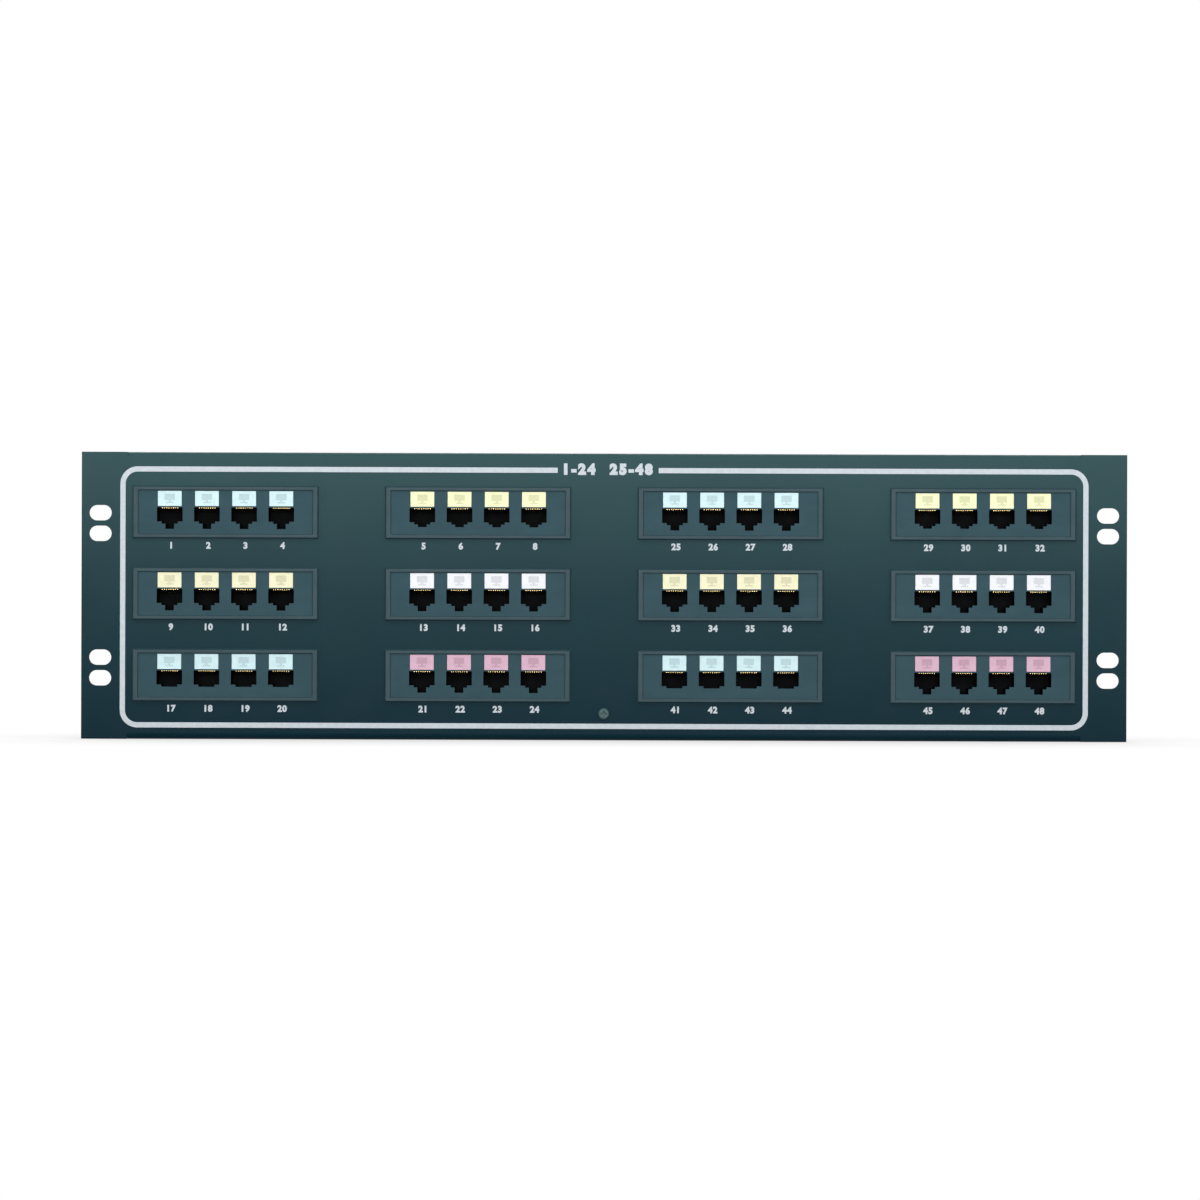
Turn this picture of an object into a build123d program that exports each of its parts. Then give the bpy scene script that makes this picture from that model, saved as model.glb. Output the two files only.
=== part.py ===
from build123d import *
import math
import os

# A 19-inch patch panel with snap-in four-port modules, in millimetres.
# X runs along the panel, Z is up and the front faces -Y. The origin is the centre of the rack
# slots, on the rear face of the sheet, which lies against the rack's rails.

# Front panel: a folded steel sheet
panel_width = 482.6
panel_height = 132.5
sheet = 2.0
bend_inside = 1.0
flange_depth = 12.7
ear_width = 21.3
edge_break = 0.5

# Rack slots in the ears, two pairs on each side
slot_from_end = 8.75
inner_slot_spacing = 57.15
outer_slot_spacing = 76.2
slot_length = 10.3
slot_width = 7.1

# Printed frame line, broken near the middle of its top side
frame_side_margin = 17.9
frame_top_margin = 6.7
frame_bottom_margin = 5.3
frame_line = 2.4
frame_radius = 8.0
frame_gap = 46.6
frame_gap_shift = 1.7
ink = 0.1

# Grid of modules inside the printed frame
columns = 4
rows = 3
grid_side_gap = 3.25
grid_top_gap = 6.45
grid_bottom_gap = 9.65

# Keyed jack sockets, latch notch down, in three kinds: a deep notch, a short one and none
ports = 4
port_pitch = 17.15
socket_width = 11.8
socket_height = 6.5
socket_depth = 14.2
step_width = 7.4
step_height = 1.0
notch_width = 4.0
notch_height = 2.4
short_notch_height = 1.2

# Icons over the sockets
icon_width = 11.0
icon_height = 7.0
icon_thickness = 1.5
icon_proud = 0.3
icon_clearance = 0.1

# Module housing: bezel, tray and the body behind the window
face_side_margin = 8.5
face_top_margin = 0.2
face_bottom_margin = 2.3
icon_to_socket = 0.5
rim_width = 2.55
rim_height = 1.85
tray_depth = 0.8
tray_slope = 20.0
bezel_thickness = 1.8
bezel_draft = 18.0
lap_x = 3.0
lap_z = 1.7
window_clearance = 0.25
back_wall = 1.8

# Snap hooks at the ends of the body
hook_height = 8.0
hook_reach = 1.3
hook_length = 5.0
hook_clearance = 0.1

# Spring contacts under the roof of each socket
contacts = 8
contact_pitch = 1.02
contact_width = 0.4
contact_setback = 1.6
contact_root = 3.0
contact_drop = 2.1
contact_back_gap = 1.6

# Punch-down blocks, two rows of two on each circuit board
block_depth = 16.0
block_thickness = 8.0
block_gap_x = 9.2
block_gap_z = 9.0
wire_slots = 8
wire_slot_pitch = 3.6
wire_slot_depth = 8.0
pair_tooth_drop = 1.5

# Circuit board behind each housing
board_margin = 8.6
board_row_gap = 4.6
board_thickness = 1.6

# Icon colours and latch notches, row by row, for the odd and the even columns
icon_colours = [("blue", "yellow"), ("cream", "white"), ("blue", "pink")]
latch_notches = [(notch_height, short_notch_height), (notch_height, notch_height), (0, notch_height)]

# Sizes that follow from what a piece holds and from the clearance round it
bend_radius = bend_inside + sheet
flange_length = panel_width - 2 * ear_width
slot_spacing = panel_width - 2 * slot_from_end
frame_length = panel_width - 2 * frame_side_margin
frame_top = panel_height / 2 - frame_top_margin
frame_bottom = frame_bottom_margin - panel_height / 2
pocket_width = icon_width + 2 * icon_clearance
pocket_height = icon_height + 2 * icon_clearance
pocket_depth = icon_thickness - icon_proud
opening_height = socket_height + step_height + notch_height
floor_width = (ports - 1) * port_pitch + socket_width + 2 * face_side_margin
floor_height = (
    face_top_margin + pocket_height + icon_to_socket + opening_height + face_bottom_margin
)
slope_run = tray_depth * math.tan(math.radians(tray_slope))
draft_run = bezel_thickness * math.tan(math.radians(bezel_draft))
bezel_width = floor_width + 2 * (slope_run + rim_width)
bezel_height = floor_height + 2 * (slope_run + rim_height)
window_width = bezel_width - 2 * lap_x
window_height = bezel_height - 2 * lap_z
body_width = window_width - 2 * window_clearance
body_height = window_height - 2 * window_clearance
icon_rise = floor_height / 2 - face_top_margin - pocket_height / 2
socket_top = icon_rise - pocket_height / 2 - icon_to_socket

# Depths along Y, from the bezel's front to the backs of the boards
panel_front = -sheet
bezel_front = panel_front - bezel_thickness
tray_floor = bezel_front + tray_depth
socket_floor = tray_floor + socket_depth
body_back = socket_floor + back_wall
board_back = body_back + board_thickness

# Places that repeat
top_row = frame_top - frame_line - grid_top_gap - bezel_height / 2
bottom_row = frame_bottom + frame_line + grid_bottom_gap + bezel_height / 2
end_column = frame_length / 2 - frame_line - grid_side_gap - bezel_width / 2
row_pitch = (top_row - bottom_row) / max(rows - 1, 1)
column_pitch = 2 * end_column / max(columns - 1, 1)
port_places = [(port - (ports - 1) / 2) * port_pitch for port in range(ports)]
contact_places = [(wire - (contacts - 1) / 2) * contact_pitch for wire in range(contacts)]
wire_places = [(slot - (wire_slots - 1) / 2) * wire_slot_pitch for slot in range(wire_slots)]

# Board and blocks, sized from the slots that the wires go into and the room between the rows
block_length = wire_slots * wire_slot_pitch
block_pitch_x = block_length + block_gap_x
block_pitch_z = block_thickness + block_gap_z
board_width = block_pitch_x + block_length + 2 * board_margin
board_height = row_pitch - board_row_gap

os.makedirs("parts", exist_ok=True)


def at_depth(y):
    """A sketch plane across the panel, facing the front, y behind the sheet's rear face."""
    return Plane.XZ.offset(-y)


def save(part, name):
    """Label a finished piece and write its STEP file."""
    part.label = name
    export_step(part, f"parts/{name}.step")


def module_place(row, column):
    """The centre of one module on the panel, X and Z."""
    return ((column - (columns - 1) / 2) * column_pitch, top_row - row * row_pitch)


module_places = [module_place(row, column) for row in range(rows) for column in range(columns)]

# Front panel: a C-section folded on a brake between two flat ears, with the module windows and the
# rack slots punched through
section_corners = [
    (flange_depth, panel_height / 2),
    (panel_front, panel_height / 2),
    (panel_front, -panel_height / 2),
    (flange_depth, -panel_height / 2),
]
with BuildPart() as front_panel:
    with BuildSketch(at_depth(0)):
        with GridLocations(flange_length + ear_width, 0, 2, 1):
            Rectangle(ear_width, panel_height)
    extrude(amount=sheet)
    ear_rims = front_panel.faces().group_by(Axis.Y)[0].edges().filter_by(
        lambda edge: abs(edge.center().X) > flange_length / 2 + 0.01
    )
    chamfer(ear_rims, edge_break)
    with BuildSketch(Plane.YZ):
        with BuildLine():
            FilletPolyline(*section_corners, radius=bend_radius)
            offset(amount=sheet, side=Side.LEFT)
        make_face()
    extrude(amount=flange_length / 2, both=True)
    with BuildSketch(at_depth(0)):
        with Locations(*module_places):
            Rectangle(window_width, window_height)
        with GridLocations(slot_spacing, inner_slot_spacing, 2, 2):
            SlotOverall(slot_length, slot_width)
        with GridLocations(slot_spacing, outer_slot_spacing, 2, 2):
            SlotOverall(slot_length, slot_width)
    extrude(amount=sheet, mode=Mode.SUBTRACT)
save(front_panel.part, "front_panel")

# Printed frame line: a thin coat of ink on the panel's face
with BuildPart() as border_print:
    with BuildSketch(at_depth(panel_front)):
        with Locations((0, (frame_top + frame_bottom) / 2)):
            RectangleRounded(frame_length, frame_top - frame_bottom, frame_radius)
            offset(amount=-frame_line, mode=Mode.SUBTRACT)
        with Locations((frame_gap_shift, frame_top)):
            Rectangle(frame_gap, 2 * frame_line, mode=Mode.SUBTRACT)
    extrude(amount=ink)
save(border_print.part, "border_print")


def mould_housing(notch):
    """A module housing, one moulding, with a latch notch of this height in its sockets."""
    with BuildPart() as housing:
        with Locations((0, panel_front, 0)):
            Wedge(
                bezel_width,
                bezel_thickness,
                bezel_height,
                draft_run,
                draft_run,
                bezel_width - draft_run,
                bezel_height - draft_run,
                rotation=(180, 0, 0),
                align=(Align.CENTER, Align.MIN, Align.CENTER),
            )
        with BuildSketch(at_depth(bezel_front)):
            Rectangle(floor_width + 2 * slope_run, floor_height + 2 * slope_run)
        extrude(amount=-tray_depth, taper=tray_slope, mode=Mode.SUBTRACT)
        with BuildSketch(at_depth(panel_front)):
            Rectangle(body_width, body_height)
        extrude(amount=panel_front - body_back)
        with BuildSketch(Plane.XY):
            with BuildLine():
                Polyline(
                    (body_width / 2, hook_clearance),
                    (body_width / 2 + hook_reach, hook_clearance),
                    (body_width / 2, hook_clearance + hook_length),
                    close=True,
                )
            make_face()
            mirror(about=Plane.YZ)
        extrude(amount=hook_height / 2, both=True)
        with BuildSketch(at_depth(tray_floor)):
            with Locations(*[(place, socket_top) for place in port_places]):
                Rectangle(socket_width, socket_height, align=(Align.CENTER, Align.MAX))
                Rectangle(step_width, socket_height + step_height, align=(Align.CENTER, Align.MAX))
                if notch > 0:
                    opening = socket_height + step_height + notch
                    Rectangle(notch_width, opening, align=(Align.CENTER, Align.MAX))
        extrude(amount=-socket_depth, mode=Mode.SUBTRACT)
        with BuildSketch(at_depth(tray_floor)):
            with Locations(*[(place, icon_rise) for place in port_places]):
                Rectangle(pocket_width, pocket_height)
        extrude(amount=-pocket_depth, mode=Mode.SUBTRACT)
    return housing.part


# Spring contacts: each is rooted on the socket's roof and tapers down to a point near its back
contact_start = tray_floor + contact_setback
contact_corners = [
    (0, contact_start, socket_top),
    (-contact_width / 2, contact_start + contact_root, socket_top),
    (contact_width / 2, contact_start + contact_root, socket_top),
    (0, socket_floor - contact_back_gap, socket_top - contact_drop),
]
with BuildPart() as jack_contacts:
    with Locations(*[(port + wire, 0, 0) for port in port_places for wire in contact_places]):
        ConvexPolyhedron(contact_corners)

# Circuit board, flat against the back of the housing
with BuildPart() as circuit_board:
    with BuildSketch(at_depth(body_back)):
        Rectangle(board_width, board_height)
    extrude(amount=-board_thickness)

# Punch-down blocks: combs that take the wires from behind, with a lower tooth inside each pair
tooth_tips = board_back + block_depth
comb = [(-block_length / 2, board_back), (-block_length / 2, tooth_tips)]
for slot, place in enumerate(wire_places):
    if slot > 0:
        comb.append((place - wire_slot_pitch / 2, tooth_tips - pair_tooth_drop * (slot % 2)))
    comb.append((place, tooth_tips - wire_slot_depth))
comb += [(block_length / 2, tooth_tips), (block_length / 2, board_back)]
block_levels = [Plane.XY.offset(side * block_pitch_z / 2) for side in (1, -1)]
with BuildPart() as punchdown_blocks:
    with BuildSketch(*block_levels):
        with GridLocations(block_pitch_x, 0, 2, 1):
            Polygon(*comb, align=None)
    extrude(amount=block_thickness / 2, both=True)

# One set of pieces for each module
housings = {notch: mould_housing(notch) for notch in set(sum(latch_notches, ()))}
for number, (x, z) in enumerate(module_places, start=1):
    row, column = divmod(number - 1, columns)
    notch = latch_notches[row % len(latch_notches)][column % 2]
    place = Location((x, 0, z))
    save(housings[notch].moved(place), f"module_housing_{number:02d}")
    save(jack_contacts.part.moved(place), f"jack_contacts_{number:02d}")
    save(circuit_board.part.moved(place), f"circuit_board_{number:02d}")
    save(punchdown_blocks.part.moved(place), f"punchdown_blocks_{number:02d}")

# Icons, one node for each colour
icon_places = {}
for row in range(rows):
    for column in range(columns):
        x, z = module_place(row, column)
        colour = icon_colours[row % len(icon_colours)][column % 2]
        icon_places.setdefault(colour, []).extend((x + port, z + icon_rise) for port in port_places)
for colour, places in icon_places.items():
    with BuildPart() as icons:
        with BuildSketch(at_depth(tray_floor + pocket_depth)):
            with Locations(*places):
                Rectangle(icon_width, icon_height)
        extrude(amount=icon_thickness)
    save(icons.part, f"icons_{colour}")
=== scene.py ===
"""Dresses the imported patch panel, piece by piece, and sets up its studio.

Lengths are in metres, X runs along the panel, the front faces -Y and Z is up.
"""
import math

import bmesh
import bpy
from bpy.props import FloatProperty, FloatVectorProperty, IntProperty, PointerProperty
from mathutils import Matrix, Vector


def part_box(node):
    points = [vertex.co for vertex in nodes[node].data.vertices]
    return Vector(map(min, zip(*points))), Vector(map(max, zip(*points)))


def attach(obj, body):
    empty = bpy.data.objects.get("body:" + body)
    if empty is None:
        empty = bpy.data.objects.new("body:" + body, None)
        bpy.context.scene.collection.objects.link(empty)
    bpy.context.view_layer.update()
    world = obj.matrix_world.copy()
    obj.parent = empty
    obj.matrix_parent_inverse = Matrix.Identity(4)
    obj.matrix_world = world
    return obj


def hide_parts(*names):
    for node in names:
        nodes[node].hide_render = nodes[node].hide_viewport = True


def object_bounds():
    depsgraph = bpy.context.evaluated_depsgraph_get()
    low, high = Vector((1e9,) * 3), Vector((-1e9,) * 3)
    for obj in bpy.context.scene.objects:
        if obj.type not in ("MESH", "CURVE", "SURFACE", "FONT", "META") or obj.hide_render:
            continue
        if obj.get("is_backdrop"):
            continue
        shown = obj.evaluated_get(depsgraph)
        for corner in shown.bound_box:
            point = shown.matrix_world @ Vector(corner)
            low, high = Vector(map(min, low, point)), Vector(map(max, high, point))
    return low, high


bl_info = {
    "name": "Patch Panel",
    "version": (1, 0, 0),
    "blender": (4, 5, 0),
    "location": "View3D > Sidebar > Patch Panel",
    "description": "Models the finished pieces of a rack patch panel on its packed frame",
    "category": "Object",
}

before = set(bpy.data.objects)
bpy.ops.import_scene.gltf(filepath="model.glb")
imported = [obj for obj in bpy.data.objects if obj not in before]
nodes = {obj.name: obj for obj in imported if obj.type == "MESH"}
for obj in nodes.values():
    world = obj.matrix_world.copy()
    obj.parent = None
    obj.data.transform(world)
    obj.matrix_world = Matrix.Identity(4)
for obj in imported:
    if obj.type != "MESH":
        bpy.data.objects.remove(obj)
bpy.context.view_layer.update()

MM = 0.001
MODULES = sorted(name[-2:] for name in nodes if name.startswith("module_housing_"))
COLUMNS = 4
# A port's wires, each with its contact, its solder joint and its clip, run as four coloured pairs
WIRES = 8
PAIR_COLOURS = ("pair_blue", "pair_orange", "pair_green", "pair_brown")
# Icon colours and kinds of latch notch, row by row, for the odd and the even columns
ICON_COLOURS = (("blue", "yellow"), ("cream", "white"), ("blue", "pink"))
LATCH_NOTCHES = (("deep", "short"), ("deep", "deep"), ("none", "deep"))
# The height of a figure as a share of its text's size
CAP_SHARE = 0.7
# Spacing between figures, and how much they are thickened as a share of their height
NUMBER_TYPE = (1.12, 0.075)
RANGE_TYPE = (1.38, 0.12)
# Bare metals
GOLD = (0.83, 0.6, 0.25)
SOLDER = (0.6, 0.6, 0.62)
TINNED_BRONZE = (0.62, 0.6, 0.56)
ZINC = (0.66, 0.67, 0.7)
# Soft lamps that point at the panel: place, width and height in metres, and power in watts
LAMPS = {
    "key": ((0, -0.3, 0.36), (1.3, 0.12), 1.0),
    "fill": ((0, -1.6, 0.06), (1.6, 1.0), 25),
    "back": ((0, 1.0, 0.8), (1.6, 0.8), 14),
}
# The camera's place along X and Z, and its roll, which the photograph shows
CAMERA_X, CAMERA_Z = -1.9 * MM, -1.45 * MM
CAMERA_ROLL = math.radians(-0.19)


def middle(name):
    """The centre of a CAD node."""
    low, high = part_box(name)
    return (low + high) / 2


def of_kind(table, number):
    """What a table, row by row for the odd and the even columns, says of a module."""
    row, column = divmod(int(number) - 1, COLUMNS)
    return table[row][column % 2]


def length(label, about, millimetres):
    """A size that the user can change."""
    return FloatProperty(name=label, description=about, default=millimetres * MM, unit="LENGTH", precision=5)


def colour(label, about, red, green, blue):
    """A colour that the user can change, given as it shows on a screen from 0 to 255."""
    linear = [(value / 255 / 12.92) if value <= 10 else ((value / 255 + 0.055) / 1.055) ** 2.4
              for value in (red, green, blue)]
    return FloatVectorProperty(name=label, description=about, default=linear, subtype="COLOR", min=0, max=1)


class PatchPanelSizes(bpy.types.PropertyGroup):
    port_pitch: length("Port pitch", "Distance between neighbouring sockets in a module", 17.15)
    ports: IntProperty(name="Ports", description="Sockets in each module", default=4)
    socket_width: length("Socket width", "Width of each jack socket", 11.8)
    housing_round: length("Housing rounding", "Rounding on the edges of the housings", 0.09)
    block_round: length("Block rounding", "Rounding on the edges of the punch-down blocks", 0.22)
    contact_pitch: length("Contact pitch", "Distance between neighbouring contact wires", 1.02)
    contact_wire: length("Contact wire", "Thickness of a contact wire", 0.4)
    wire_slot_pitch: length("Wire slot pitch", "Distance between slots in a punch-down block", 3.6)
    wire_slot_depth: length("Wire slot depth", "Depth of the slots in a punch-down block", 8.0)
    block_pitch: length("Block pitch", "Distance between two blocks in a row", 38.0)
    block_thickness: length("Block thickness", "Thickness of a punch-down block", 8.0)
    icon_width: length("Icon width", "Width of a port icon", 11.0)
    icon_rim: length("Icon rim", "Width of the rim round an icon's face", 0.5)
    icon_dish: length("Icon dish", "Depth of an icon's face below its rim", 0.12)
    tip_height: length("Tooth tips", "How far the coloured tips reach down a block's teeth", 5.0)
    clip_thickness: length("Clip thickness", "Thickness of the metal clips in the blocks", 0.5)
    joint_size: length("Solder joint", "Diameter of a solder joint", 1.5)
    number_height: length("Number height", "Height of the printed port numbers", 2.8)
    number_drop: length("Number drop", "From a module's centre down to its port numbers", 15.5)
    number_shift: length("Number shift", "How far the numbers stand right of their sockets", 0.6)
    range_height: length("Range height", "Height of the numbers in the frame line's gap", 4.4)
    range_shift: length("Range shift", "How far the range numbers stand right of the centre", 1.25)
    print_thickness: length("Print thickness", "Thickness of the printed figures", 0.06)
    screw_drop: length("Screw drop", "From the panel's centre down to the bonding screw", 54.0)
    screw_head: length("Screw head", "Diameter of the bonding screw's head", 5.2)
    screw_thread: length("Screw thread", "Diameter of the bonding screw's thread", 3.0)
    camera_distance: length("Camera distance", "From the camera to the panel's face", 2300)
    view_width: length("View width", "Width of what the camera sees at the panel's face", 553.4)


class PatchPanelColours(bpy.types.PropertyGroup):
    # The paint is darker at the sheet's lower edge and lighter at its upper edge: a painted sheen for light from
    # above, over the paint's own colour half-way up
    paint: colour("Paint", "Satin paint half-way up the sheet", 30, 59, 66)
    paint_sheen_low: colour("Low paint", "Satin paint at the sheet's lower edge", 8, 41, 52)
    paint_sheen_high: colour("High paint", "Satin paint at the sheet's upper edge", 55, 84, 87)
    ink: colour("Ink", "Printed line and figures", 205, 214, 220)
    face: colour("Module face", "Textured face of the module housings", 50, 78, 87)
    rim: colour("Module rim", "Smooth rim of the module housings", 54, 76, 82)
    # The screw head is coloured lighter than the dark paint it really has: a painted highlight for the light its
    # dome catches
    screw: colour("Screw", "Painted head of the bonding screw", 62, 90, 92)
    # Painted shade: the inside of the sockets is coloured near black, far darker than the housing's plastic, for
    # the shade deep in them
    cavity: colour("Socket", "Inside of the sockets", 8, 10, 12)
    blocks: colour("Blocks", "Moulded punch-down blocks", 214, 212, 204)
    mask: colour("Solder mask", "Coating on the circuit boards", 18, 74, 46)
    icons_blue: colour("Blue icons", "Icons of the blue modules", 206, 236, 241)
    icons_cream: colour("Cream icons", "Icons of the cream modules", 241, 239, 200)
    icons_pink: colour("Pink icons", "Icons of the pink modules", 214, 172, 193)
    icons_white: colour("White icons", "Icons of the white modules", 238, 241, 246)
    icons_yellow: colour("Yellow icons", "Icons of the yellow modules", 243, 246, 196)
    pair_blue: colour("Blue pair", "Tooth tips of the first pair", 40, 84, 160)
    pair_orange: colour("Orange pair", "Tooth tips of the second pair", 214, 110, 38)
    pair_green: colour("Green pair", "Tooth tips of the third pair", 48, 124, 68)
    pair_brown: colour("Brown pair", "Tooth tips of the fourth pair", 104, 68, 44)


# Ways of working that the pieces share


def take_up(*pieces):
    """Selects these objects only, with the first one active."""
    bpy.ops.object.select_all(action="DESELECT")
    for piece in pieces:
        piece.select_set(True)
    bpy.context.view_layer.objects.active = pieces[0]


def fresh(name):
    """Names the primitive that was just added and sets its place in its mesh."""
    piece = bpy.context.object
    piece.name = piece.data.name = name
    bpy.ops.object.transform_apply(location=True, rotation=True, scale=True)
    return piece


def block(name, low, high):
    """A closed block between two corners."""
    bpy.ops.object.select_all(action="DESELECT")
    low, high = Vector(low), Vector(high)
    bpy.ops.mesh.primitive_cube_add(size=1, location=(low + high) / 2)
    bpy.context.object.scale = high - low
    return fresh(name)


def rod(name, start, end, radius, sides):
    """A closed round bar along Y."""
    bpy.ops.object.select_all(action="DESELECT")
    start, end = Vector(start), Vector(end)
    bpy.ops.mesh.primitive_cylinder_add(
        vertices=sides, radius=radius, depth=(end - start).length, location=(start + end) / 2,
        rotation=(math.pi / 2, 0, 0),
    )
    return fresh(name)


def pick(piece, kind, wanted):
    """Opens the piece in edit mode with only the faces or edges selected that wanted says."""
    take_up(piece)
    bpy.ops.object.mode_set(mode="EDIT")
    bpy.ops.mesh.select_mode(type="FACE" if kind == "faces" else "EDGE")
    bpy.ops.mesh.select_all(action="DESELECT")
    mesh = bmesh.from_edit_mesh(piece.data)
    for element in getattr(mesh, kind):
        element.select_set(wanted(element))
    bmesh.update_edit_mesh(piece.data)


def leave_edit():
    bpy.ops.object.mode_set(mode="OBJECT")


def finish_with(piece, kind, **settings):
    """Adds a modifier and applies it."""
    take_up(piece)
    modifier = piece.modifiers.new(kind.title(), kind)
    for name, value in settings.items():
        setattr(modifier, name, value)
    bpy.ops.object.modifier_apply(modifier=modifier.name)


def round_edges(piece, width):
    """Rounds a piece's corners and shades them smoothly, with its large faces kept flat."""
    finish_with(piece, "BEVEL", width=width, segments=2, limit_method="ANGLE", angle_limit=math.radians(30))
    take_up(piece)
    bpy.ops.object.shade_smooth_by_angle(angle=math.radians(35))
    finish_with(piece, "WEIGHTED_NORMAL", keep_sharp=True)


def repeat(piece, count, step):
    """Repeats a piece in a row, with its middle where the piece was."""
    step = Vector(step)
    finish_with(piece, "ARRAY", count=count, use_relative_offset=False, use_constant_offset=True,
                constant_offset_displace=step)
    shift(piece, -step * (count - 1) / 2)


def shift(piece, way):
    """Moves a piece with its place kept in its mesh."""
    take_up(piece)
    bpy.ops.transform.translate(value=way)
    bpy.ops.object.transform_apply(location=True, rotation=True, scale=True)


def another(piece, name, way):
    """A copy of a piece with its own mesh, moved by way."""
    take_up(piece)
    bpy.ops.object.duplicate(linked=False)
    made = bpy.context.object
    made.name = made.data.name = name
    shift(made, way)
    return made


def join(name, *pieces):
    """Makes one object of several."""
    take_up(*pieces)
    if len(pieces) > 1:
        bpy.ops.object.join()
    made = bpy.context.object
    made.name = made.data.name = name
    return made


def from_solid(node, name):
    """A merged copy of a CAD node, with its flat faces cut into even triangles."""
    piece = bpy.data.objects.new(name, nodes[node].data.copy())
    bpy.context.scene.collection.objects.link(piece)
    piece.data.materials.clear()
    take_up(piece)
    bpy.ops.object.mode_set(mode="EDIT")
    bpy.ops.mesh.select_all(action="SELECT")
    bpy.ops.mesh.remove_doubles(threshold=0.001 * MM)
    bpy.ops.mesh.dissolve_limited(angle_limit=math.radians(1))
    bpy.ops.mesh.quads_convert_to_tris(quad_method="BEAUTY", ngon_method="BEAUTY")
    leave_edit()
    return piece


def seat(piece, finish_slot, *stands_for):
    """Lets a finished piece ride on the panel, in place of its CAD nodes; its finish slot is not used."""
    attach(piece, "root")
    if stands_for:
        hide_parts(*stands_for)


def on_modules(piece, stem, finish_slot, replaced=None, modules=MODULES):
    """Seats a piece made for the first of these modules, and a copy of it on each of the others."""
    first = middle(f"module_housing_{modules[0]}")
    made = {number: another(piece, f"{stem}_{number}", middle(f"module_housing_{number}") - first)
            for number in modules[1:]}
    piece.name = piece.data.name = f"{stem}_{modules[0]}"
    made[modules[0]] = piece
    for number, copy in made.items():
        seat(copy, finish_slot, *([f"{replaced}_{number}"] if replaced else []))


# Finishes


class Finish:
    """A material under construction, with Object coordinates for its patterns."""

    def __init__(self, name, base, roughness, specular=0.3, metallic=0.0):
        self.material = bpy.data.materials.new(name)
        self.material.use_nodes = True
        self.tree = self.material.node_tree
        self.shader = self.tree.nodes["Principled BSDF"]
        self.base = tuple(base)
        self.shader.inputs["Base Color"].default_value = (*base, 1)
        self.shader.inputs["Roughness"].default_value = roughness
        self.shader.inputs["Specular IOR Level"].default_value = specular
        self.shader.inputs["Metallic"].default_value = metallic
        self.place = self.node("ShaderNodeTexCoord").outputs["Object"]
        self.normal = None

    def node(self, kind, **settings):
        made = self.tree.nodes.new(kind)
        for name, value in settings.items():
            setattr(made, name, value)
        return made

    def link(self, out, into):
        self.tree.links.new(out, into)

    def noise(self, size, stretch=(1, 1, 1)):
        """Noise with features of about this size, drawn out along an axis by stretch."""
        mapping = self.node("ShaderNodeMapping")
        mapping.inputs["Scale"].default_value = [1 / part for part in stretch]
        self.link(self.place, mapping.inputs["Vector"])
        noise = self.node("ShaderNodeTexNoise")
        noise.inputs["Scale"].default_value = 1 / size
        noise.inputs["Detail"].default_value = 3.0
        self.link(mapping.outputs["Vector"], noise.inputs["Vector"])
        return noise.outputs["Fac"]

    def ramp(self, source, *stops):
        """Colours along a value, each stop a position and a colour."""
        ramp = self.node("ShaderNodeValToRGB")
        elements = ramp.color_ramp.elements
        for spare in range(len(stops) - len(elements)):
            elements.new(0.5)
        for element, (position, shade) in zip(elements, stops):
            element.position = position
            element.color = (*shade, 1)
        self.link(source, ramp.inputs["Fac"])
        return ramp.outputs["Color"]

    def tone(self, factor):
        """The base colour made lighter or darker."""
        return tuple(min(part * factor, 1) for part in self.base)

    def mottle(self, size, spread, stretch=(1, 1, 1)):
        """Uneven colour, a little darker and lighter than the base."""
        shades = self.ramp(self.noise(size, stretch=stretch), (0.3, self.tone(1 - spread)),
                           (0.7, self.tone(1 + spread)))
        self.link(shades, self.shader.inputs["Base Color"])

    def sheen_patches(self, size, low, high):
        """Roughness that drifts between two values."""
        patches = self.ramp(self.noise(size), (0.3, (low,) * 3), (0.7, (high,) * 3))
        self.link(patches, self.shader.inputs["Roughness"])

    def painted_sheen_fade(self, low, high, lower, upper):
        """A painted sheen: a fade from the lower colour through the base to the upper, lighter upwards as light
        from above would make it, with a faint cloudiness over it.
        """
        axes = self.node("ShaderNodeSeparateXYZ")
        self.link(self.place, axes.inputs["Vector"])
        height = self.node("ShaderNodeMapRange")
        height.inputs["From Min"].default_value = low
        height.inputs["From Max"].default_value = high
        self.link(axes.outputs["Z"], height.inputs["Value"])
        # Painted sheen: darker low on the sheet and lighter high up
        fade = self.ramp(height.outputs["Result"], (0.0, lower), (0.5, self.base), (1.0, upper))
        cloud_size, cloud_shade = 35 * MM, 0.92
        cloud = self.ramp(self.noise(cloud_size), (0.3, (cloud_shade,) * 3), (0.7, (1.0,) * 3))
        both = self.node("ShaderNodeMix", data_type="RGBA", blend_type="MULTIPLY")
        both.inputs["Factor"].default_value = 1.0
        self.link(fade, both.inputs["A"])
        self.link(cloud, both.inputs["B"])
        self.link(both.outputs["Result"], self.shader.inputs["Base Color"])

    def grain(self, size, depth):
        """Fine relief with features of about this size."""
        self.relief(self.noise(size), depth)

    def relief(self, source, depth):
        """Relief of this depth, laid over any relief that is there."""
        bump = self.node("ShaderNodeBump")
        bump.inputs["Strength"].default_value = 0.5
        bump.inputs["Distance"].default_value = depth
        self.link(source, bump.inputs["Height"])
        if self.normal:
            self.link(self.normal, bump.inputs["Normal"])
        self.normal = bump.outputs["Normal"]
        self.link(self.normal, self.shader.inputs["Normal"])


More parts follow.
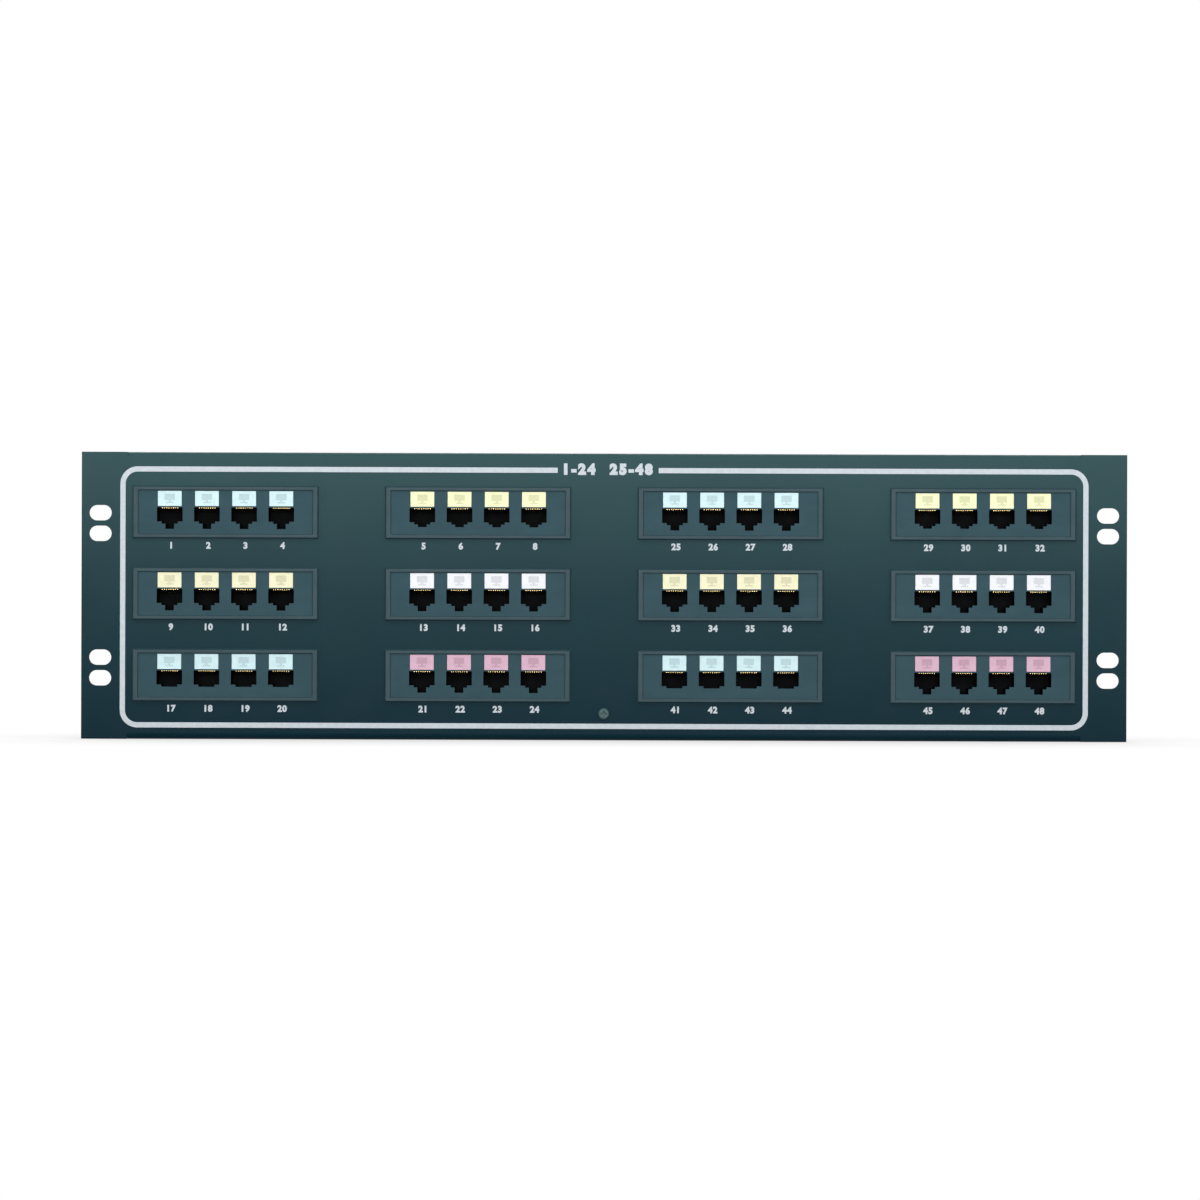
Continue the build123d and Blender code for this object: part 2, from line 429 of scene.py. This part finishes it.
def satin_paint(base, lower, upper):
    """Baked satin paint with fine orange peel, and a painted sheen that makes it darker towards the sheet's
    lower edge and lighter towards its upper edge.
    """
    finish = Finish("panel_paint", base, 0.42, specular=0.06)
    low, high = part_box("front_panel")
    # Painted sheen: the paint is coloured lighter towards the top and darker towards the bottom
    finish.painted_sheen_fade(low.z, high.z, lower, upper)
    finish.sheen_patches(18 * MM, 0.4, 0.5)
    finish.grain(1.1 * MM, 0.03 * MM)
    return finish.material


def screen_ink(base):
    """Screen-printed ink: matt and slightly uneven in cover."""
    finish = Finish("print_ink", base, 0.6, specular=0.2)
    finish.mottle(1.5 * MM, 0.05)
    finish.grain(0.4 * MM, 0.01 * MM)
    return finish.material


def symbol_ink(name, base):
    """The icons' printed symbol, in a darker tone of the icon."""
    finish = Finish(name, base, 0.5, specular=0.25)
    finish.mottle(0.8 * MM, 0.06)
    finish.grain(0.3 * MM, 0.006 * MM)
    return finish.material


def moulded(name, base, roughness, texture, specular=0.3):
    """Moulded plastic with a spark-eroded texture and faint flow marks."""
    finish = Finish(name, base, roughness, specular=specular)
    finish.mottle(6 * MM, 0.06, stretch=(2.5, 1, 1))
    finish.sheen_patches(5 * MM, roughness - 0.05, roughness + 0.05)
    finish.grain(0.35 * MM, texture)
    return finish.material


def icon_plastic(name, base):
    """Glossy tinted plastic that lets a little light in."""
    finish = Finish(name, base, 0.3, specular=0.4)
    finish.mottle(2.5 * MM, 0.04)
    finish.shader.inputs["Subsurface Weight"].default_value = 0.12
    finish.shader.inputs["Subsurface Radius"].default_value = (0.9 * MM, 0.8 * MM, 0.7 * MM)
    finish.shader.inputs["Subsurface Scale"].default_value = 1.0
    finish.grain(0.8 * MM, 0.008 * MM)
    return finish.material


def metal(name, base, roughness, lines, stretch=(1, 1, 1)):
    """Bare or plated metal with fine drawing lines."""
    finish = Finish(name, base, roughness, specular=0.5, metallic=1.0)
    finish.mottle(0.8 * MM, 0.1, stretch=stretch)
    finish.sheen_patches(1.2 * MM, roughness - 0.07, roughness + 0.07)
    finish.grain(lines, 0.01 * MM)
    return finish.material


def solder_mask(base):
    """Green solder mask over copper tracks, which show as a lighter green relief."""
    finish = Finish("board_mask", base, 0.28, specular=0.5)
    tracks = finish.node("ShaderNodeTexBrick", offset=0.5, squash=1.0)
    tracks.inputs["Scale"].default_value = 1.0
    tracks.inputs["Brick Width"].default_value = 9.5 * MM
    tracks.inputs["Row Height"].default_value = 1.6 * MM
    tracks.inputs["Mortar Size"].default_value = 0.28 * MM
    tracks.inputs["Mortar Smooth"].default_value = 0.25
    turned = finish.node("ShaderNodeMapping")
    turned.inputs["Rotation"].default_value = (math.pi / 2, 0, 0)
    finish.link(finish.place, turned.inputs["Vector"])
    finish.link(turned.outputs["Vector"], tracks.inputs["Vector"])
    shades = finish.ramp(tracks.outputs["Fac"], (0.0, base), (1.0, finish.tone(1.7)))
    finish.link(shades, finish.shader.inputs["Base Color"])
    finish.relief(tracks.outputs["Fac"], 0.04 * MM)
    finish.grain(0.6 * MM, 0.01 * MM)
    return finish.material


# Pieces


class PatchPanelOperator:
    bl_options = {"REGISTER", "UNDO"}

    @property
    def sizes(self):
        return bpy.context.scene.patch_panel_sizes

    @property
    def colours(self):
        return bpy.context.scene.patch_panel_colours

    def ports(self):
        """How far each socket of a module lies from the module's centre along X."""
        count = self.sizes.ports
        return [(port - (count - 1) / 2) * self.sizes.port_pitch for port in range(count)]


def cover(node, material):
    """Gives a CAD node its finish."""
    nodes[node].data.materials.clear()
    nodes[node].data.materials.append(material)


class PaintSheet(PatchPanelOperator, bpy.types.Operator):
    """Finish the folded sheet and the frame line printed on it"""

    bl_idname = "patch_panel.paint_sheet"
    bl_label = "Painted Sheet"

    def execute(self, context):
        tints = self.colours
        # The paint's darkening towards the bottom and lightening towards the top is a painted sheen
        cover("front_panel", satin_paint(tints.paint, tints.paint_sheen_low, tints.paint_sheen_high))
        cover("border_print", screen_ink(tints.ink))
        return {"FINISHED"}


class MouldHousings(PatchPanelOperator, bpy.types.Operator):
    """Model the module housings with rounded edges, a smooth rim and painted shade inside the sockets"""

    bl_idname = "patch_panel.mould_housings"
    bl_label = "Module Housings"

    def execute(self, context):
        tints = self.colours
        finishes = (
            moulded("housing_face", tints.face, roughness=0.5, texture=0.03 * MM, specular=0.1),
            moulded("housing_rim", tints.rim, roughness=0.36, texture=0.006 * MM, specular=0.12),
            # Painted shade for the inside of the sockets
            moulded("housing_cavity", tints.cavity, roughness=0.55, texture=0.02 * MM, specular=0.04),
        )
        kinds = {}
        for number in MODULES:
            kinds.setdefault(of_kind(LATCH_NOTCHES, number), []).append(number)
        for modules in kinds.values():
            on_modules(self.mould(modules[0], finishes), "housing", "housing_plastic", "module_housing", modules)
        return {"FINISHED"}

    def mould(self, number, finishes):
        """One housing with its tray, its rim and its sockets in their own finishes, the inside of the sockets in
        near-black painted shade.
        """
        node = f"module_housing_{number}"
        housing = from_solid(node, "module_housing")
        round_edges(housing, self.sizes.housing_round)
        for finish in finishes:
            housing.data.materials.append(finish)
        centre = middle(node)
        contacts_low, contacts_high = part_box(f"jack_contacts_{number}")
        tray_floor = contacts_low.y - 1.6 * MM
        cavity_front, rim_back = tray_floor + 0.3 * MM, tray_floor - 0.5 * MM
        slack = 0.1 * MM
        socket_low, socket_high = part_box(node)[0].z + 2 * MM, contacts_high.z + slack
        reach = self.sizes.socket_width / 2 + slack
        for polygon in housing.data.polygons:
            at = polygon.center
            port_gap = min(abs(at.x - centre.x - port) for port in self.ports())
            # Faces deep inside the sockets take the painted shade, and faces in front of the tray the rim
            if at.y > cavity_front and port_gap < reach and socket_low < at.z < socket_high:
                polygon.material_index = 2
            elif at.y < rim_back:
                polygon.material_index = 1
        return housing


class BendContacts(PatchPanelOperator, bpy.types.Operator):
    """Model the gold contact wires under the roof of every socket"""

    bl_idname = "patch_panel.bend_contacts"
    bl_label = "Contact Wires"

    def execute(self, context):
        sizes = self.sizes
        low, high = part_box("jack_contacts_01")
        centre_x = middle("jack_contacts_01").x
        radius = sizes.contact_wire / 2
        # Each stretch of the wire, in depth and height, from the front of the roof to the tip
        stretches = [(2.2 * MM, 0.0), (1.0 * MM, -0.2 * MM), (3.4 * MM, -0.75 * MM),
                     (2.6 * MM, -0.65 * MM), (1.0 * MM, -0.1 * MM)]
        bpy.ops.object.select_all(action="DESELECT")
        bpy.ops.mesh.primitive_circle_add(
            vertices=6, radius=radius, fill_type="NGON", rotation=(math.pi / 2, 0, 0),
            location=(centre_x, low.y + radius, high.z - radius),
        )
        wire = fresh("contact_wire")
        pick(wire, "faces", lambda face: True)
        for depth, height in stretches:
            bpy.ops.mesh.extrude_region_move(TRANSFORM_OT_translate={"value": (0, depth, height)})
        bpy.ops.mesh.select_all(action="SELECT")
        bpy.ops.mesh.normals_make_consistent(inside=False)
        leave_edit()
        repeat(wire, WIRES, (sizes.contact_pitch, 0, 0))
        repeat(wire, sizes.ports, (sizes.port_pitch, 0, 0))
        take_up(wire)
        bpy.ops.object.shade_smooth_by_angle(angle=math.radians(65))
        wire.data.materials.append(
            metal("contact_gold", GOLD, roughness=0.25, lines=0.2 * MM, stretch=(1, 6, 1)))
        on_modules(wire, "contact_wires", "contact_gold", "jack_contacts")
        return {"FINISHED"}


class FitIcons(PatchPanelOperator, bpy.types.Operator):
    """Model the snap-in icons over the sockets, each with a screen symbol"""

    bl_idname = "patch_panel.fit_icons"
    bl_label = "Port Icons"
    # The symbol's colour as a share of its icon's
    symbol_shade = 0.82

    def execute(self, context):
        self.low, self.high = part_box("icons_cream")
        first_row = middle("module_housing_05")
        rise = (self.low.z + self.high.z) / 2 - first_row.z
        places = {}
        for number in MODULES:
            centre = middle(f"module_housing_{number}")
            places.setdefault(of_kind(ICON_COLOURS, number), []).extend(
                Vector((centre.x + port, 0, centre.z + rise)) for port in self.ports())
        for name, found in places.items():
            tint = getattr(self.colours, f"icons_{name}")
            tabs = self.spread(self.tab(found[0]), f"port_icons_{name}", found)
            tabs.data.materials.append(icon_plastic(f"icon_{name}_plastic", tint))
            seat(tabs, f"icon_{name}", f"icons_{name}")
            symbols = self.spread(self.symbol(found[0]), f"icon_symbols_{name}", found)
            symbols.data.materials.append(
                symbol_ink(f"icon_{name}_symbol", [part * self.symbol_shade for part in tint]))
            seat(symbols, f"icon_{name}")
        return {"FINISHED"}

    def spread(self, piece, name, places):
        """Copies what was made at the first place to the others, as one object."""
        copies = [another(piece, f"{name}_copy", place - places[0]) for place in places[1:]]
        return join(name, piece, *copies)

    def tab(self, at):
        """One rounded icon with a shallow dish in its face."""
        half_width = self.sizes.icon_width / 2
        half_height = (self.high.z - self.low.z) / 2
        icon = block("icon", (at.x - half_width, self.low.y, at.z - half_height),
                     (at.x + half_width, self.high.y, at.z + half_height))
        pick(icon, "faces", lambda face: face.normal.y < -0.9)
        bpy.ops.mesh.inset(thickness=self.sizes.icon_rim, depth=0)
        bpy.ops.transform.translate(value=(0, self.sizes.icon_dish, 0))
        leave_edit()
        round_edges(icon, 0.18 * MM)
        return icon

    def symbol(self, at):
        """One screen on its stand, printed in the icon's dish."""
        face = self.low.y + self.sizes.icon_dish
        front = face - self.sizes.print_thickness

        def plate(name, half_width, bottom, top):
            return block(name, (at.x - half_width, front, at.z + bottom), (at.x + half_width, face, at.z + top))

        screen_bottom, foot_top, bezel = -0.7 * MM, -1.5 * MM, 0.5 * MM
        screen = plate("screen", 2.4 * MM, screen_bottom, 2.2 * MM)
        pick(screen, "faces", lambda part: part.normal.y < -0.9)
        bpy.ops.mesh.inset(thickness=bezel, depth=0)
        bpy.ops.transform.translate(value=(0, self.sizes.print_thickness / 2, 0))
        leave_edit()
        neck = plate("neck", 0.5 * MM, foot_top, screen_bottom)
        foot = plate("foot", 1.8 * MM, -2.1 * MM, foot_top)
        return join("symbol", screen, neck, foot)


class SolderBoards(PatchPanelOperator, bpy.types.Operator):
    """Finish the circuit boards and model the solder joints of the jacks on them"""

    bl_idname = "patch_panel.solder_boards"
    bl_label = "Circuit Boards"

    def execute(self, context):
        mask = solder_mask(self.colours.mask)
        for number in MODULES:
            cover(f"circuit_board_{number}", mask)
        centre = middle("circuit_board_01")
        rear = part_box("circuit_board_01")[1].y
        pitch = self.sizes.contact_pitch
        row_offset, flatness = 1.4 * MM, 0.8
        rows = []
        for side in (-1, 1):
            bpy.ops.object.select_all(action="DESELECT")
            bpy.ops.mesh.primitive_uv_sphere_add(
                segments=8, ring_count=5, radius=self.sizes.joint_size / 2,
                location=(centre.x + side * pitch / 2, rear, centre.z + side * row_offset))
            bpy.ops.transform.resize(value=(1, flatness, 1))
            joint = fresh("solder_joint")
            repeat(joint, WIRES // 2, (2 * pitch, 0, 0))
            repeat(joint, self.sizes.ports, (self.sizes.port_pitch, 0, 0))
            rows.append(joint)
        joints = join("solder_joints", *rows)
        take_up(joints)
        bpy.ops.object.shade_smooth()
        joints.data.materials.append(metal("solder", SOLDER, roughness=0.3, lines=0.3 * MM))
        on_modules(joints, "solder_joints", "board_mask")
        return {"FINISHED"}


class SlotBlocks(PatchPanelOperator, bpy.types.Operator):
    """Model the punch-down blocks with coloured tooth tips, and the metal clips in their slots"""

    bl_idname = "patch_panel.slot_blocks"
    bl_label = "Punch-Down Blocks"

    def execute(self, context):
        sizes = self.sizes
        low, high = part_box("punchdown_blocks_01")
        centre = (low + high) / 2
        blocks = from_solid("punchdown_blocks_01", "blocks")
        take_up(blocks)
        bpy.ops.object.mode_set(mode="EDIT")
        bpy.ops.mesh.select_all(action="SELECT")
        bpy.ops.mesh.bisect(plane_co=(0, high.y - sizes.tip_height, 0), plane_no=(0, 1, 0))
        leave_edit()
        round_edges(blocks, sizes.block_round)
        blocks.data.materials.append(
            moulded("block_plastic", self.colours.blocks, roughness=0.42, texture=0.012 * MM))
        for name in PAIR_COLOURS:
            tint = getattr(self.colours, name)
            blocks.data.materials.append(moulded(name, tint, roughness=0.45, texture=0.012 * MM))
        pair_pitch = 2 * sizes.wire_slot_pitch
        for polygon in blocks.data.polygons:
            if polygon.center.y < high.y - sizes.tip_height:
                continue
            for block_x in (centre.x - sizes.block_pitch / 2, centre.x + sizes.block_pitch / 2):
                for pair in range(len(PAIR_COLOURS)):
                    tooth = block_x + (pair - (len(PAIR_COLOURS) - 1) / 2) * pair_pitch
                    if abs(polygon.center.x - tooth) < sizes.wire_slot_pitch / 2:
                        polygon.material_index = pair + 1
        on_modules(blocks, "wire_blocks", "block_plastic", "punchdown_blocks")

        # One clip has two tines with a narrow slit between them, set into the walls of its slot
        inner, outer = 0.13 * MM, 1.15 * MM
        sunk, height, lead_in = 0.6 * MM, 4.2 * MM, 0.8 * MM
        valley = high.y - sizes.wire_slot_depth
        lower_row = low.z + sizes.block_thickness / 2
        tines = []
        for side in (-1, 1):
            corner = centre.x + side * inner
            ends = sorted((corner, centre.x + side * outer))
            tine = block("tine", (ends[0], valley - sunk, centre.z - sizes.clip_thickness / 2),
                         (ends[1], valley + height, centre.z + sizes.clip_thickness / 2))
            pick(tine, "edges", lambda edge: all(
                abs(v.co.x - corner) < 0.01 * MM and v.co.y > valley for v in edge.verts))
            bpy.ops.mesh.bevel(offset=lead_in, segments=1, affect="EDGES")
            leave_edit()
            tines.append(tine)
        clips = join("clips", *tines)
        repeat(clips, WIRES, (sizes.wire_slot_pitch, 0, 0))
        repeat(clips, 2, (sizes.block_pitch, 0, 0))
        repeat(clips, 2, (0, 0, 2 * (centre.z - lower_row)))
        clips.data.materials.append(
            metal("clip_metal", TINNED_BRONZE, roughness=0.28, lines=0.2 * MM, stretch=(1, 5, 1)))
        on_modules(clips, "wire_clips", "contact_gold")
        return {"FINISHED"}


class PrintNumbers(PatchPanelOperator, bpy.types.Operator):
    """Print the port numbers under the sockets and the two ranges in the frame line's gap"""

    bl_idname = "patch_panel.print_numbers"
    bl_label = "Printed Numbers"

    def execute(self, context):
        sizes = self.sizes
        ink = nodes["border_print"].data.materials[0]
        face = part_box("front_panel")[0].y
        figures = []
        for index, number in enumerate(MODULES):
            row, column = divmod(index, COLUMNS)
            half, place = divmod(column, COLUMNS // 2)
            first = 1 + half * len(MODULES) // 2 * sizes.ports + (row * COLUMNS // 2 + place) * sizes.ports
            centre = middle(f"module_housing_{number}")
            for port, offset in enumerate(self.ports()):
                at = (centre.x + offset + sizes.number_shift, face, centre.z - sizes.number_drop)
                figures.append(self.figure(str(first + port), sizes.number_height, at, *NUMBER_TYPE))
        port_numbers = join("port_numbers", *figures)
        half_line = 0.9 * MM
        at = (sizes.range_shift, face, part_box("border_print")[1].z - half_line)
        ranges = self.figure("1-24  25-48", sizes.range_height, at, *RANGE_TYPE)
        ranges.name = ranges.data.name = "port_ranges"
        for piece in (port_numbers, ranges):
            piece.data.materials.append(ink)
            seat(piece, "print_ink")
        return {"FINISHED"}

    def figure(self, words, height, at, spacing, weight):
        """Figures of this height, thickened by a share of it and centred at a point of the panel's face."""
        thickness = self.sizes.print_thickness
        bpy.ops.object.select_all(action="DESELECT")
        bpy.ops.object.text_add()
        text = bpy.context.object
        text.data.body = words
        text.data.align_x = text.data.align_y = "CENTER"
        text.data.size = height / CAP_SHARE
        text.data.space_character = spacing
        text.data.offset = height * weight
        text.data.extrude = thickness / 2
        text.data.resolution_u = 3
        bpy.ops.object.convert(target="MESH")
        text.rotation_euler = (math.pi / 2, 0, 0)
        text.location = (at[0], at[1] - thickness / 2, at[2])
        text = fresh("figure")
        pick(text, "faces", lambda part: True)
        bpy.ops.mesh.remove_doubles(threshold=0.001 * MM)
        leave_edit()
        return text


class FitBondingScrew(PatchPanelOperator, bpy.types.Operator):
    """Model the bonding screw low on the sheet, with its washer and nut behind"""

    bl_idname = "patch_panel.fit_bonding_screw"
    bl_label = "Bonding Screw"

    def execute(self, context):
        sizes = self.sizes
        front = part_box("front_panel")[0].y
        z = -sizes.screw_drop
        head_height, dome, recess_depth = 1.6 * MM, 0.9 * MM, 0.9 * MM
        recess_narrow, recess_wide = 0.4 * MM, 1.4 * MM
        washer, washer_radius = 0.6 * MM, 3.2 * MM
        nut_height, nut_radius = 2.4 * MM, 3.15 * MM
        past_nut, chamfer, clearance = 1.2 * MM, 0.3 * MM, 0.05 * MM

        head = rod("head", (0, front - head_height, z), (0, front, z), sizes.screw_head / 2, 32)
        pick(head, "edges", lambda edge: all(v.co.y < front - head_height / 2 for v in edge.verts))
        bpy.ops.mesh.bevel(offset=dome, segments=4, affect="EDGES")
        leave_edit()
        for x, rise in ((recess_narrow, recess_wide), (recess_wide, recess_narrow)):
            self.cut(head, block("recess", (-x, front - 2 * head_height, z - rise),
                                 (x, front - head_height + recess_depth, z + rise)))
        shank_end = washer + nut_height + past_nut
        shank = rod("shank", (0, front, z), (0, shank_end, z), sizes.screw_thread / 2, 24)
        pick(shank, "edges", lambda edge: all(v.co.y > shank_end - 0.1 * MM for v in edge.verts))
        bpy.ops.mesh.bevel(offset=chamfer, segments=1, affect="EDGES")
        leave_edit()
        screw = join("bonding_screw", head, shank)

        hole = sizes.screw_thread / 2 + clearance
        ring = rod("bonding_washer", (0, 0, z), (0, washer, z), washer_radius, 32)
        self.cut(ring, rod("bore", (0, -washer, z), (0, 2 * washer, z), hole, 24))
        nut = rod("bonding_nut", (0, washer, z), (0, washer + nut_height, z), nut_radius, 6)
        self.cut(nut, rod("bore", (0, 0, z), (0, washer + 2 * nut_height, z), hole, 24))

        # Dark paint coloured lighter, a painted highlight for the light on the head's dome
        painted = moulded("screw_paint", self.colours.screw, roughness=0.4, texture=0.01 * MM)
        zinc = metal("zinc_plate", ZINC, roughness=0.32, lines=0.3 * MM)
        for piece, finish, slot in ((screw, painted, "panel_paint"), (ring, zinc, "contact_gold"),
                                    (nut, zinc, "contact_gold")):
            round_edges(piece, 0.1 * MM)
            piece.data.materials.clear()
            piece.data.materials.append(finish)
            seat(piece, slot)
        return {"FINISHED"}

    def cut(self, piece, cutter):
        """Takes the cutter's shape out of the piece."""
        finish_with(piece, "BOOLEAN", object=cutter, operation="DIFFERENCE", solver="EXACT")
        bpy.data.objects.remove(cutter)


class SetStage(PatchPanelOperator, bpy.types.Operator):
    """Lay the pale floor, light the panel softly and look at it straight on"""

    bl_idname = "patch_panel.set_stage"
    bl_label = "Studio"

    def execute(self, context):
        low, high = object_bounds()
        bpy.ops.object.select_all(action="DESELECT")
        bpy.ops.mesh.primitive_plane_add(size=12, location=(0, 0, low.z - 0.1 * MM))
        floor = fresh("floor")
        floor.data.materials.append(self.floor_finish())
        floor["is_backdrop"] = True
        self.world(context.scene)
        for name, (place, size, power) in LAMPS.items():
            self.softbox(name, place, size, power)
        self.camera(context.scene, low)
        context.scene.view_settings.view_transform = "Standard"
        return {"FINISHED"}

    def shown_rays(self, tree):
        """1 for rays that the camera, a reflection or a clear pane sends out, and 0 for the light's own."""
        path = tree.nodes.new("ShaderNodeLightPath")
        total = None
        for name in ("Is Camera Ray", "Is Glossy Ray", "Is Transmission Ray"):
            if total is None:
                total = path.outputs[name]
                continue
            add = tree.nodes.new("ShaderNodeMath")
            add.operation = "ADD"
            add.use_clamp = True
            tree.links.new(total, add.inputs[0])
            tree.links.new(path.outputs[name], add.inputs[1])
            total = add.outputs["Value"]
        return total

    def floor_finish(self):
        """White to the eye with a soft shadow where the panel stands, and a plain grey to the light."""
        material = bpy.data.materials.new("pale_floor")
        material.use_nodes = True
        tree = material.node_tree
        tree.nodes.clear()
        shadow_reach, shadow_tone = 0.12, 0.5
        near = tree.nodes.new("ShaderNodeAmbientOcclusion")
        near.inputs["Distance"].default_value = shadow_reach
        shade = tree.nodes.new("ShaderNodeMapRange")
        shade.inputs["To Min"].default_value = shadow_tone
        tree.links.new(near.outputs["AO"], shade.inputs["Value"])
        seen = tree.nodes.new("ShaderNodeEmission")
        tree.links.new(shade.outputs["Result"], seen.inputs["Strength"])
        lit = tree.nodes.new("ShaderNodeBsdfDiffuse")
        lit.inputs["Color"].default_value = (0.35, 0.35, 0.35, 1)
        mix = tree.nodes.new("ShaderNodeMixShader")
        tree.links.new(self.shown_rays(tree), mix.inputs["Fac"])
        tree.links.new(lit.outputs["BSDF"], mix.inputs[1])
        tree.links.new(seen.outputs["Emission"], mix.inputs[2])
        out = tree.nodes.new("ShaderNodeOutputMaterial")
        tree.links.new(mix.outputs["Shader"], out.inputs["Surface"])
        return material

    def world(self, scene):
        """An even studio: white to the eye, dimmer as light."""
        scene.world = bpy.data.worlds.new("studio")
        scene.world.use_nodes = True
        tree = scene.world.node_tree
        tree.nodes.clear()
        light = tree.nodes.new("ShaderNodeBackground")
        light.inputs["Strength"].default_value = 0.4
        seen = tree.nodes.new("ShaderNodeBackground")
        for shader in (light, seen):
            shader.inputs["Color"].default_value = (1, 1, 1, 1)
        mix = tree.nodes.new("ShaderNodeMixShader")
        tree.links.new(self.shown_rays(tree), mix.inputs["Fac"])
        tree.links.new(light.outputs["Background"], mix.inputs[1])
        tree.links.new(seen.outputs["Background"], mix.inputs[2])
        out = tree.nodes.new("ShaderNodeOutputWorld")
        tree.links.new(mix.outputs["Shader"], out.inputs["Surface"])

    def softbox(self, name, place, size, power):
        """A soft rectangular lamp that points at the panel."""
        data = bpy.data.lights.new(name, "AREA")
        data.shape = "RECTANGLE"
        data.size, data.size_y = size
        data.energy = power
        lamp = bpy.data.objects.new(name, data)
        bpy.context.scene.collection.objects.link(lamp)
        lamp.location = place
        lamp.rotation_euler = (-Vector(place)).to_track_quat("-Z", "Y").to_euler()
        lamp.visible_camera = False

    def camera(self, scene, low):
        """A long lens square on to the panel, which stands a little off the picture's centre."""
        sizes = self.sizes
        data = bpy.data.cameras.new("camera")
        data.lens = data.sensor_width * sizes.camera_distance / sizes.view_width
        data.clip_start, data.clip_end = 0.05, 30
        camera = bpy.data.objects.new("camera", data)
        scene.collection.objects.link(camera)
        camera.location = (CAMERA_X, low.y - sizes.camera_distance, CAMERA_Z)
        camera.rotation_euler = (math.pi / 2, CAMERA_ROLL, 0)
        scene.camera = camera


class PatchPanelPanel(bpy.types.Panel):
    """Lists the pieces of the patch panel in the sidebar"""

    bl_idname = "VIEW3D_PT_patch_panel"
    bl_label = "Patch Panel"
    bl_space_type = "VIEW_3D"
    bl_region_type = "UI"
    bl_category = "Patch Panel"

    def draw(self, context):
        for step in PIECES:
            self.layout.operator(step.bl_idname)
        for group in (context.scene.patch_panel_sizes, context.scene.patch_panel_colours):
            for name in group.bl_rna.properties.keys():
                if name not in ("rna_type", "name"):
                    self.layout.prop(group, name)


PIECES = (PaintSheet, MouldHousings, BendContacts, FitIcons, SolderBoards, SlotBlocks, PrintNumbers,
          FitBondingScrew, SetStage)
CLASSES = (PatchPanelSizes, PatchPanelColours, *PIECES, PatchPanelPanel)


def register():
    for kind in CLASSES:
        bpy.utils.register_class(kind)
    bpy.types.Scene.patch_panel_sizes = PointerProperty(type=PatchPanelSizes)
    bpy.types.Scene.patch_panel_colours = PointerProperty(type=PatchPanelColours)


def unregister():
    del bpy.types.Scene.patch_panel_sizes
    del bpy.types.Scene.patch_panel_colours
    for kind in reversed(CLASSES):
        bpy.utils.unregister_class(kind)


def main():
    register()
    for piece in PIECES:
        group, name = piece.bl_idname.split(".")
        getattr(getattr(bpy.ops, group), name)()


if __name__ == "__main__":
    main()
